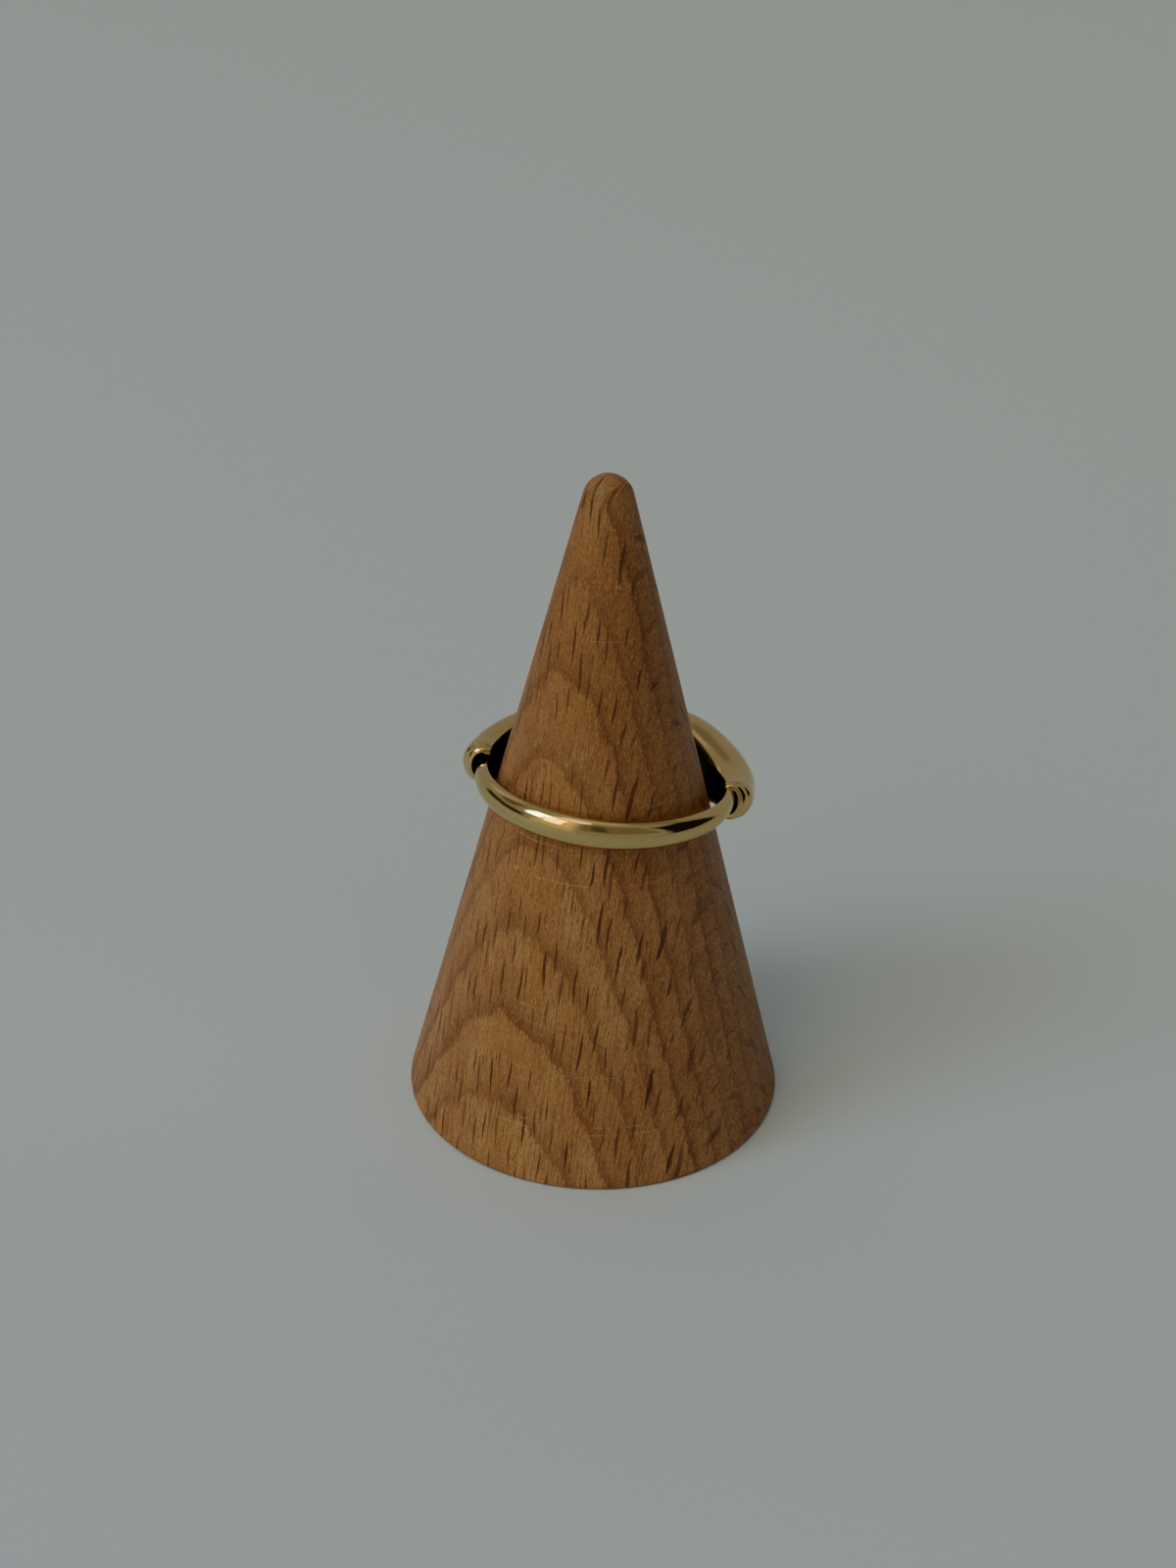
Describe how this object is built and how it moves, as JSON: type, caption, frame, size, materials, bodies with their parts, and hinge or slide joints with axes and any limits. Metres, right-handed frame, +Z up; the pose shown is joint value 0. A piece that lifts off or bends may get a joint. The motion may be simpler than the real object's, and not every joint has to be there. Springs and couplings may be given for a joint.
{
  "type": "dome ring on a cone stand",
  "caption": "Plain rounded gold band with a hollow puffed dome, hanging tilted on a turned beech ring cone with a rounded tip.",
  "frame": {"origin": "middle of the cone's foot, on the surface that it stands on", "axes": "+Z up along the cone, -Y towards the ring's plain band, +Y towards its dome"},
  "size_m": [0.0278, 0.0278, 0.0506],
  "materials": {
    "gold": "polished yellow gold with fine handling scratches, dull inside the hollow dome",
    "beech": "bare turned beech, fine sanded, with short dark flecks and soft growth rings"
  },
  "bodies": {
    "root": {"dome_ring": "gold", "cone_stand": "beech"}
  },
  "joints": []
}
